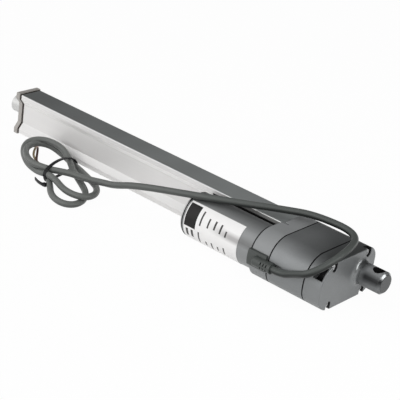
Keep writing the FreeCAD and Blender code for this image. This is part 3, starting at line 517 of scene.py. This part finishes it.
# Moulded plastic, rubber, board and carbon
mouldLooks = {
    "capPlastic": {
        "dark": (0.345, 0.327, 0.308), "light": (0.415, 0.396, 0.375),
        "rough": (0.40, 0.54), "grain": 1800.0, "depth": 0.10,
    },
    "gasketRubber": {
        "dark": (0.006, 0.006, 0.006), "light": (0.014, 0.014, 0.014),
        "rough": (0.5, 0.7), "grain": 1500.0, "depth": 0.15, "gloss": 0.12,
    },
    "brownGasket": {
        "dark": (0.012, 0.007, 0.005), "light": (0.026, 0.016, 0.012),
        "rough": (0.55, 0.75), "grain": 1200.0, "depth": 0.25, "gloss": 0.12,
    },
    "bushPlastic": {
        "dark": (0.60, 0.58, 0.52), "light": (0.72, 0.70, 0.64),
        "rough": (0.38, 0.52), "grain": 1400.0, "depth": 0.10,
    },
    "nutPlastic": {
        "dark": (0.10, 0.20, 0.13), "light": (0.15, 0.27, 0.18),
        "rough": (0.36, 0.5), "grain": 1400.0, "depth": 0.10,
    },
    "gearPlastic": {
        "dark": (0.70, 0.69, 0.64), "light": (0.80, 0.79, 0.74),
        "rough": (0.32, 0.46), "grain": 1400.0, "depth": 0.08,
    },
    "magnetFerrite": {
        "dark": (0.035, 0.035, 0.037), "light": (0.07, 0.07, 0.072),
        "rough": (0.5, 0.7), "grain": 2200.0, "depth": 0.3,
    },
    "circuitBoard": {
        "dark": (0.02, 0.10, 0.045), "light": (0.035, 0.15, 0.07),
        "rough": (0.3, 0.42), "grain": 2600.0, "depth": 0.12,
    },
    "switchPlastic": {
        "dark": (0.016, 0.016, 0.018), "light": (0.035, 0.035, 0.038),
        "rough": (0.35, 0.5), "grain": 1600.0, "depth": 0.10,
    },
    "carbonBrush": {
        "dark": (0.02, 0.02, 0.022), "light": (0.05, 0.05, 0.052),
        "rough": (0.45, 0.6), "grain": 3000.0, "depth": 0.2,
    },
    "reliefPlastic": {
        "dark": (0.036, 0.041, 0.038), "light": (0.055, 0.062, 0.058),
        "rough": (0.36, 0.48), "grain": 1600.0, "depth": 0.12,
    },
    "cordSheath": {
        "dark": (0.128, 0.135, 0.129), "light": (0.178, 0.185, 0.177),
        "rough": (0.30, 0.42), "grain": 700.0, "depth": 0.08, "gloss": 0.22,
    },
    "tieNylon": {
        "dark": (0.006, 0.006, 0.007), "light": (0.014, 0.014, 0.016),
        "rough": (0.40, 0.54), "grain": 1800.0, "depth": 0.12, "gloss": 0.25,
    },
    "coreBrown": {
        "dark": (0.050, 0.014, 0.009), "light": (0.085, 0.026, 0.016),
        "rough": (0.35, 0.5), "grain": 1500.0, "depth": 0.06,
    },
    "coreBeige": {
        "dark": (0.34, 0.25, 0.13), "light": (0.46, 0.36, 0.21),
        "rough": (0.35, 0.5), "grain": 1500.0, "depth": 0.06,
    },
}
mouldGrain = {
    "cloud": (90.0, 3.0),  # noise scale and detail
    "grainDetail": 2.0,
    "grainShare": 0.25,
    "roughShare": 0.5,
    "gloss": 0.5,  # where a look gives none
    "bumpDistance": 0.0002,  # metres
}

# Painted shade: the sheath is darker towards the castings, and so is its under side, mm
sheathShadeLook = {
    "nearX": (330.0, 60.0),
    "nearShadeTone": (0.074, 0.081, 0.077),
    "underFacing": (0.45, -0.15),
    "underX": (200.0, 70.0),
    "underShare": 0.35,  # far from the castings
    "underPaintedTone": (0.012, 0.014, 0.013),
}


def sheathShadeTone(mould, tone):
    look = sheathShadeLook
    x = mould.axes(mould.place)[0]
    tone = mould.mixColour(mould.slope(x, *look["nearX"]), tone, look["nearShadeTone"])
    depth = mould.slope(x, *look["underX"]) * (1 - look["underShare"]) + look["underShare"]
    return mould.mixColour(mould.facing(*look["underFacing"]) * depth, tone, look["underPaintedTone"])


def mouldFinish(name):
    look = mouldLooks[name]
    mould = Finish(name, Specular_IOR_Level=look.get("gloss", mouldGrain["gloss"]))
    cloud = mould.noise(*mouldGrain["cloud"])
    grain = mould.noise(look["grain"], mouldGrain["grainDetail"])
    share = mouldGrain["grainShare"]
    tone = mould.mixColour(cloud * (1 - share) + grain * share, look["dark"], look["light"])
    if name == "cordSheath":
        # painted shade towards the castings and on the under side
        tone = sheathShadeTone(mould, tone)
    share = mouldGrain["roughShare"]
    mould.feed("Base Color", tone)
    mould.feed("Roughness", mould.spread(cloud * (1 - share) + grain * share, *look["rough"]))
    mould.bump(grain, look["depth"], mouldGrain["bumpDistance"])
    return mould.material


# Label: white film with a dark band at the far end, rows of plain bars and a darker streak of painted
# reflection
labelLook = {  # mm from the label's start, and degrees round the motor
    "film": ((0.80, 0.79, 0.785), (0.87, 0.865, 0.86)),
    "filmGrain": 70.0,
    "reflectionStreak": (3.0, 13.0, 19.0, 31.0),
    "reflectionX": (35.0, 10.0),
    "reflectionTone": (0.43, 0.42, 0.418),
    "bandX": (47.3, 60.0),
    "bandAngles": (-7.0, 51.5),
    "bandInk": ((0.008, 0.0075, 0.007), (0.018, 0.0165, 0.016)),
    "inkGrain": 300.0,
    "rows": (  # place, width, then from and to angle
        (42.7, 1.7, 8.0, 45.0), (34.3, 1.7, 11.0, 35.0), (27.2, 1.9, 14.0, 36.0),
        (20.6, 1.9, 12.0, 35.0), (14.2, 1.7, 10.5, 25.0),
        (43.1, 1.6, -44.0, -9.0), (35.0, 1.6, -41.0, -27.0), (28.3, 1.6, -44.0, -22.0),
        (21.4, 1.6, -38.0, -24.0), (14.5, 1.6, -41.0, -18.0),
        (56.6, 2.6, -36.0, -13.0), (50.8, 2.6, -34.0, -12.0),
    ),
    "rowInk": (0.055, 0.053, 0.051),
    "gloss": 0.2,
    "rough": (0.32, 0.42),
    "roughGrain": 260.0,
    "ripple": (1100.0, 2.0),
    "bump": (0.04, 0.0001),  # strength, then distance in metres
}


def labelFinish(name):
    look = labelLook
    film = Finish(name, Specular_IOR_Level=look["gloss"])
    x = film.axes(film.place)[0] - spanX("rating_label")[0] * mm
    angle = motorAngle(film)
    tone = film.mixColour(film.noise(look["filmGrain"]), *look["film"])
    # painted reflection: a darker streak across the film
    reflectionStreak = film.hump(angle, *look["reflectionStreak"], 1.0) * film.slope(x, *look["reflectionX"])
    tone = film.mixColour(reflectionStreak, tone, look["reflectionTone"])
    bars = 0.0
    for place, width, low, high in look["rows"]:
        row = film.between(x, place - width / 2, place + width / 2)
        bars = bars + row * film.between(angle, low, high, 1.0)
    tone = film.mixColour(bars, tone, look["rowInk"])
    band = film.between(x, *look["bandX"]) * film.between(angle, *look["bandAngles"], 1.0)
    black = film.mixColour(film.noise(look["inkGrain"]), *look["bandInk"])
    film.feed("Base Color", film.mixColour(band, tone, black))
    film.feed("Roughness", film.spread(film.noise(look["roughGrain"]), *look["rough"]))
    film.bump(film.noise(*look["ripple"]), *look["bump"])
    return film.material


# Which finish each node wears
finishNodes = {
    "castingPaint": ("rear_cover", "gear_case"),
    "housingPaint": ("front_housing",),
    "motorPaint": ("motor_can",),
    "anodisedProfile": ("outer_profile",),
    "capPlastic": ("front_cap",),
    "gasketRubber": ("cover_gasket", "case_gasket", "wiper_seal", "motor_seal_ring"),
    "brownGasket": ("front_gasket",),
    "screwSteel": ("cover_screws",),
    "brightSteel": (
        "cap_screws", "lead_screw", "screw_clip", "bearing_outer_race", "bearing_inner_race",
        "idler_pin", "motor_front_plate", "rotor_shaft",
    ),
    "rodChrome": ("piston_rod", "bearing_balls"),
    "endMetal": ("rod_end",),
    "rimMetal": ("motor_end_cap",),
    "bushPlastic": ("rod_bush", "brush_plate"),
    "nutPlastic": ("drive_nut",),
    "gearPlastic": ("screw_gear", "idler_gear"),
    "bronze": ("motor_bushes", "drive_pinion"),
    "copper": ("rotor_winding", "commutator"),
    "magnetFerrite": ("motor_magnets",),
    "lamination": ("rotor_core",),
    "circuitBoard": ("switch_strip",),
    "switchPlastic": ("limit_switches",),
    "carbonBrush": ("motor_brushes",),
    "ratingFilm": ("rating_label",),
    "reliefPlastic": ("strain_relief",),
    "cordSheath": ("cable", "cable_hank"),
    "tieNylon": ("cable_tie",),
    "coreBrown": ("core_wire_a",),
    "coreBeige": ("core_wire_b",),
}
finishes = {}


def makeFinish(name):
    for looks, make in ((paintLooks, paintFinish), (metalLooks, metalFinish), (mouldLooks, mouldFinish)):
        if name in looks:
            return make(name)
    return labelFinish(name)


def dressNodes():
    for name, members in finishNodes.items():
        finishes[name] = makeFinish(name)
        for member in members:
            mesh = nodes[member].data
            mesh.materials.clear()
            mesh.materials.append(finishes[name])


dressNodes()
print("finishes on:", len(finishes))


# Cord: the route's points, then two loose turns of the hank, each a far end and a near end, and the tail
cordSettings = {  # mm
    "radius": 3.1,
    "length": 1.03,  # metres, from the boot to the cut end
    "route": (
        (66.0, 57.9, -2.0), (55.0, 57.9, -2.0), (43.1, 60.5, 4.8), (23.2, 65.3, 14.8), (10.9, 40.0, 31.0),
        (25.8, -3.4, 29.7), (71.1, -2.2, 29.3), (101.4, 4.7, 24.1), (133.9, 28.0, 23.4),
        (168.4, 45.0, 20.7), (227.7, 54.4, 8.5), (254.6, 52.5, -3.0), (268.8, 52.4, -6.0),
        (286.2, 52.1, -10.0), (299.9, 51.7, -12.5), (311.4, 53.8, -13.0), (320.0, 58.6, -13.0),
        (328.2, 63.4, -13.2),
    ),
    "steps": 9,  # points round each end
    "ends": (  # sweep and lean in degrees, heights at the start, middle and end of the sweep
        {
            "centre": (356.2, 43.7), "reach": 29.7, "half": 19.6, "lean": -38.3,
            "sweep": (140, -48), "heights": (-13.4, -12.8, -18.0),
            "then": (
                (351.5, 21.2, -19.6), (341.0, 23.6, -20.8), (329.0, 26.6, -20.8), (313.3, 32.6, -19.8),
            ),
        },
        {
            "centre": (296.6, 58.8), "reach": 31.8, "half": 17.6, "lean": 150.0,
            "sweep": (92, -70), "heights": (-18.2, -15.0, -15.0),
            "then": (
                (311.5, 72.0, -15.0), (324.2, 69.2, -15.2), (334.6, 67.6, -18.2), (345.0, 65.0, -20.6),
            ),
        },
        {
            "centre": (358.0, 42.4), "reach": 29.5, "half": 18.6, "lean": -15.1,
            "sweep": (94, -86), "heights": (-21.3, -11.6, -10.4),
            "then": ((343.4, 27.4, -13.0), (332.4, 33.4, -15.6), (322.0, 38.9, -18.8)),
        },
        {
            "centre": (296.4, 69.7), "reach": 28.4, "half": 16.5, "lean": 140.8,
            "sweep": (112, -80), "heights": (-21.3, -21.3, -21.3),
            "then": (
                (315.6, 74.6, -21.3), (325.0, 67.6, -21.3), (333.0, 61.0, -21.3), (341.0, 57.0, -21.3),
                (349.0, 53.4, -21.3),
            ),
        },
    ),
}
curveSteps = {"round": 6, "along": 12, "order": 3}  # for the cord and its cores


def hankPoints(settings):
    points = []
    for end in settings["ends"]:
        turn = Matrix.Rotation(math.radians(end["lean"]), 3, "Z")
        start, stop = end["sweep"]
        first, middle, last = end["heights"]
        rise = 4 * middle - 3 * first - last  # a parabola through the three heights
        bend = 2 * first - 4 * middle + 2 * last
        for k in range(settings["steps"]):
            share = k / (settings["steps"] - 1)
            angle = math.radians(start + (stop - start) * share)
            spot = turn @ Vector((end["reach"] * math.cos(angle), end["half"] * math.sin(angle), 0.0))
            height = first + rise * share + bend * share ** 2
            points.append((end["centre"][0] + spot.x, end["centre"][1] + spot.y, height))
        points.extend(end["then"])
    return points


def addCurve(name, routes, radius, finish):
    data = bpy.data.curves.new(name, "CURVE")
    data.dimensions = "3D"
    data.bevel_depth = radius * mm
    data.bevel_resolution = curveSteps["round"]
    data.resolution_u = curveSteps["along"]
    data.use_fill_caps = True
    for points in routes:
        spline = data.splines.new("NURBS")
        spline.points.add(len(points) - 1)
        for point, place in zip(spline.points, points):
            point.co = (place[0] * mm, place[1] * mm, place[2] * mm, 1.0)
        spline.order_u = curveSteps["order"]
        spline.use_endpoint_u = True
    data.materials.append(finish)
    return addObject(name, data)


def pathPoints(piece):  # along the middle of a curve, mm
    data = piece.data.copy()
    data.bevel_depth = 0.0
    probe = bpy.data.objects.new("pathProbe", data)
    mesh = bpy.data.meshes.new_from_object(probe)
    points = [v.co / mm for v in mesh.vertices]
    bpy.data.objects.remove(probe)
    bpy.data.meshes.remove(mesh)
    bpy.data.curves.remove(data)
    return points


cordPoints = list(cordSettings["route"]) + hankPoints(cordSettings)
cord = addCurve("cordSheathing", [cordPoints], cordSettings["radius"], finishes["cordSheath"])
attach(cord, "housing")
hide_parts("cable", "cable_hank")
print("cord laid with", len(cordPoints), "points")


# Bared cores at the cut end, each with a wisp of copper strands
coreSettings = {  # mm
    "radius": 1.15,
    "cores": {
        "coreBrown": {
            "node": "core_wire_a", "slot": "core_brown",
            "points": (
                (346.5, 55.4, -20.9), (352.0, 55.6, -19.6), (357.6, 53.6, -18.8), (362.6, 49.4, -18.5),
                (368.4, 43.6, -18.5), (377.9, 34.2, -18.8), (382.0, 30.4, -19.2),
            ),
        },
        "coreBeige": {
            "node": "core_wire_b", "slot": "core_beige",
            "points": (
                (346.5, 53.2, -20.9), (353.5, 53.0, -20.2), (360.5, 51.4, -19.6), (369.4, 47.4, -18.6),
                (376.5, 40.4, -18.6), (382.4, 33.6, -19.0), (384.4, 31.2, -19.4),
            ),
        },
    },
    "strands": 7,
    "strandRadius": 0.16,
    "bare": 4.5,  # length past the core
    "bareShare": (0.8, 0.06),  # of the first strand, and what each next one adds
    "hidden": 0.5,  # length inside the core
    "splay": (0.45, 0.5, 0.75),  # off the core's middle: inside it, half way and at the tip
}


def strandRoutes(settings, points):
    end = Vector(points[-1])
    ahead = (end - Vector(points[-2])).normalized()
    aside = ahead.cross(Vector((0.0, 0.0, 1.0))).normalized()
    upward = aside.cross(ahead)
    least, more = settings["bareShare"]
    routes = []
    for k in range(settings["strands"]):
        angle = 2 * math.pi * k / settings["strands"]
        offset = aside * math.cos(angle) + upward * math.sin(angle)
        reach = settings["bare"] * (least + more * k)
        stops = zip((-settings["hidden"], reach / 2, reach), settings["splay"])
        routes.append([end + ahead * along + offset * out for along, out in stops])
    return routes


def addCores(settings):
    pieces = []
    for name, core in settings["cores"].items():
        sheath = addCurve(name, [core["points"]], settings["radius"], finishes[name])
        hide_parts(core["node"])
        routes = strandRoutes(settings, core["points"])
        strands = addCurve(name + "Strands", routes, settings["strandRadius"], finishes["copper"])
        for piece in (sheath, strands):
            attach(piece, "housing")
            pieces.append(piece)
    return pieces


corePieces = addCores(coreSettings)
print("cores bared")


# Tie: a flat strap drawn round the strands that cross its plane, with a head and a loose tail
tieSettings = {  # mm
    "place": (331.5, 48.0, -14.0),
    "reach": 60.0,  # strands further off aren't tied
    "turn": 12.0,  # degrees between the strap's width and X
    "tilt": -5.0,
    "roundSteps": 24,  # points round each strand
    "bow": 0.07,  # how far a free run of the strap stands out, as a share of the run
    "step": 2.0,
    "width": 3.6,
    "thick": 1.1,
    "chamfer": 0.25,
    "head": (4.4, 3.6, 3.4),
    "headBevel": 0.5,
    "headSteps": 2,
    "tail": ((319.4, 77.6, -21.8), (322.6, 79.0, -21.8), (327.6, 78.6, -21.6), (333.4, 76.8, -21.4)),
    "tailAcross": (0.0, 0.25, 0.97),
}


def turnsBack(a, b, c):
    return (b[0] - a[0]) * (c[1] - a[1]) <= (b[1] - a[1]) * (c[0] - a[0])


def hull(points):
    points = sorted(points)
    corners = []
    for run in (points, points[::-1]):
        side = []
        for point in run:
            while len(side) > 1 and turnsBack(side[-2], side[-1], point):
                side.pop()
            side.append(point)
        corners.extend(side[:-1])
    return corners


def crossings(path, centre, across, reach):  # where a path goes through a plane, from its centre
    spots = []
    for a, b in zip(path, path[1:]):
        before = (a - centre).dot(across)
        after = (b - centre).dot(across)
        if before * after < 0 and (a - centre).length < reach:
            spots.append(a + (b - a) * (before / (before - after)) - centre)
    return spots


def strapLoop(settings, centre, across, level):
    upward = across.cross(level)
    grip = cordSettings["radius"] + settings["thick"] / 2
    rounds = []
    for spot in crossings(pathPoints(cord), centre, across, settings["reach"]):
        for k in range(settings["roundSteps"]):
            angle = 2 * math.pi * k / settings["roundSteps"]
            u = spot.dot(level) + grip * math.cos(angle)
            rounds.append((u, spot.dot(upward) + grip * math.sin(angle)))
    corners = hull(rounds)
    lowest = cadBox[0][2] / mm + settings["thick"]
    loop = []
    for (u, v), (nextU, nextV) in zip(corners, corners[1:] + corners[:1]):
        count = max(1, round(math.hypot(nextU - u, nextV - v) / settings["step"]))
        for k in range(count):
            share = k / count
            bow = settings["bow"] * 4 * share * (1 - share)
            spot = centre + level * (u + (nextU - u) * share + (nextV - v) * bow)
            spot += upward * (v + (nextV - v) * share - (nextU - u) * bow)
            spot.z = max(spot.z, lowest)
            loop.append(spot)
    return loop


def addStrap(mesh, path, across, settings, closed):
    wide = settings["width"] / 2
    thick = settings["thick"] / 2
    flat = wide - settings["chamfer"]
    upright = thick - settings["chamfer"]
    outline = (
        (wide, upright), (flat, thick), (-flat, thick), (-wide, upright),
        (-wide, -upright), (-flat, -thick), (flat, -thick), (wide, -upright),
    )
    rings = []
    for i, spot in enumerate(path):
        after = path[(i + 1) % len(path)] if closed else path[min(i + 1, len(path) - 1)]
        before = path[i - 1] if closed else path[max(i - 1, 0)]
        outward = across.cross(after - before).normalized()
        rings.append([mesh.verts.new((spot + across * a + outward * b) * mm) for a, b in outline])
    for i in range(len(rings) if closed else len(rings) - 1):
        ring = rings[i]
        other = rings[(i + 1) % len(rings)]
        for k in range(len(outline)):
            n = (k + 1) % len(outline)
            mesh.faces.new((ring[k], ring[n], other[n], other[k]))
    if not closed:
        mesh.faces.new(rings[0])
        mesh.faces.new(rings[-1][::-1])


def addHead(mesh, place, turn, settings):
    stretch = Matrix.Diagonal((*settings["head"], 1.0))
    stand = Matrix.Translation(place * mm) @ Matrix.Rotation(turn, 4, "Z") @ stretch
    head = bmesh.ops.create_cube(mesh, size=mm, matrix=stand)
    edges = list(dict.fromkeys(edge for vert in head["verts"] for edge in vert.link_edges))
    bevel = settings["headBevel"] * mm
    bmesh.ops.bevel(mesh, geom=edges, offset=bevel, segments=settings["headSteps"], affect="EDGES")


def addTie(settings):
    turn = math.radians(settings["turn"])
    tilt = math.radians(settings["tilt"])
    across = Vector((math.cos(turn) * math.cos(tilt), math.sin(turn) * math.cos(tilt), math.sin(tilt)))
    level = Vector((-math.sin(turn), math.cos(turn), 0.0))
    tail = [Vector(point) for point in settings["tail"]]
    mesh = bmesh.new()
    addStrap(mesh, strapLoop(settings, Vector(settings["place"]), across, level), across, settings, True)
    addStrap(mesh, tail, Vector(settings["tailAcross"]), settings, False)
    addHead(mesh, tail[0], turn, settings)
    bmesh.ops.recalc_face_normals(mesh, faces=mesh.faces)
    data = bpy.data.meshes.new("tieStrap")
    mesh.to_mesh(data)
    mesh.free()
    data.materials.append(finishes["tieNylon"])
    tie = addObject("tieStrap", data)
    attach(tie, "housing")
    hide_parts("cable_tie")
    return tie


tie = addTie(tieSettings)
print("tie drawn round the hank")


# Floor, soft lamps and a room that is bright in front and dim behind
stageLooks = {
    "floorSize": 24.0,  # metres
    "floorDrop": 0.0002,  # below the part
    "floorTones": ((0.90, 0.90, 0.90), (0.93, 0.93, 0.93)),
    "floorGrain": 3.0,
    "floorRough": 0.9,
    "floorGlow": 0.965,  # share of plain white that the picture sees
    "towards": (0.45, 0.80, 0.40),  # the bright side of the room
    "room": ((0.0, 0.05), (0.36, 0.11), (0.50, 0.14), (0.70, 0.38), (0.85, 0.76), (1.0, 1.0)),
    "strength": 1.0,
}


def addFloor(look):
    half = look["floorSize"] / 2
    corners = [(-half, -half, 0), (half, -half, 0), (half, half, 0), (-half, half, 0)]
    mesh = bpy.data.meshes.new("studioFloor")
    mesh.from_pydata(corners, [], [(0, 1, 2, 3)])
    floor = addObject("studioFloor", mesh)
    floor.location.z = cadBox[0][2] - look["floorDrop"]
    paper = Finish("floorPaper", Roughness=look["floorRough"])
    paper.feed("Base Color", paper.mixColour(paper.noise(look["floorGrain"]), *look["floorTones"]))
    rays = paper.node("ShaderNodeLightPath").socket.node.outputs
    kinds = ("Is Camera Ray", "Is Glossy Ray", "Is Transmission Ray")
    camera, glossy, through = [Wire(paper, rays[kind]) for kind in kinds]
    share = paper.maths("MINIMUM", camera + glossy + through, 1.0) * look["floorGlow"]
    glow = paper.node("ShaderNodeEmission", None, {"Color": (1.0, 1.0, 1.0), "Strength": 1.0})
    plain = Wire(paper, paper.shader.outputs[0])
    both = paper.node("ShaderNodeMixShader", None, {0: share, 1: plain, 2: glow})
    paper.join(both, paper.tree.nodes["Material Output"].inputs["Surface"])
    mesh.materials.append(paper.material)


lamps = {  # metres and watts
    "sideSoftbox": {
        "place": (0.72, 1.15, 0.60), "aim": (0.20, 0.04, 0.0), "size": (1.8, 1.3), "power": 6.6,
    },
    "rearSoftbox": {
        "place": (-0.80, 0.06, 0.62), "aim": (0.0, 0.0, 0.0), "size": (1.5, 0.36), "power": 7.6,
    },
}


def addLamps():
    for name, look in lamps.items():
        data = bpy.data.lights.new(name, "AREA")
        data.shape = "RECTANGLE"
        data.size, data.size_y = look["size"]
        data.energy = look["power"]
        lamp = addObject(name, data)
        lamp.matrix_world = aimed(Vector(look["place"]), Vector(look["aim"]))


def addWorld(look):
    world = bpy.data.worlds.new("studioRoom")
    bpy.context.scene.world = world
    world.use_nodes = True
    room = Graph(world.node_tree)
    way = room.node("ShaderNodeTexCoord", out="Generated")
    inputs = {0: way, 1: look["towards"]}
    lean = room.node("ShaderNodeVectorMath", {"operation": "DOT_PRODUCT"}, inputs, out="Value")
    tone = room.node("ShaderNodeValToRGB", {"stops": look["room"]}, {0: lean * 0.5 + 0.5})
    back = world.node_tree.nodes["Background"]
    room.join(tone, back.inputs["Color"])
    room.join(look["strength"], back.inputs["Strength"])


addFloor(stageLooks)
addLamps()
addWorld(stageLooks)
bpy.context.scene.view_settings.view_transform = "Standard"
print("stage lit")
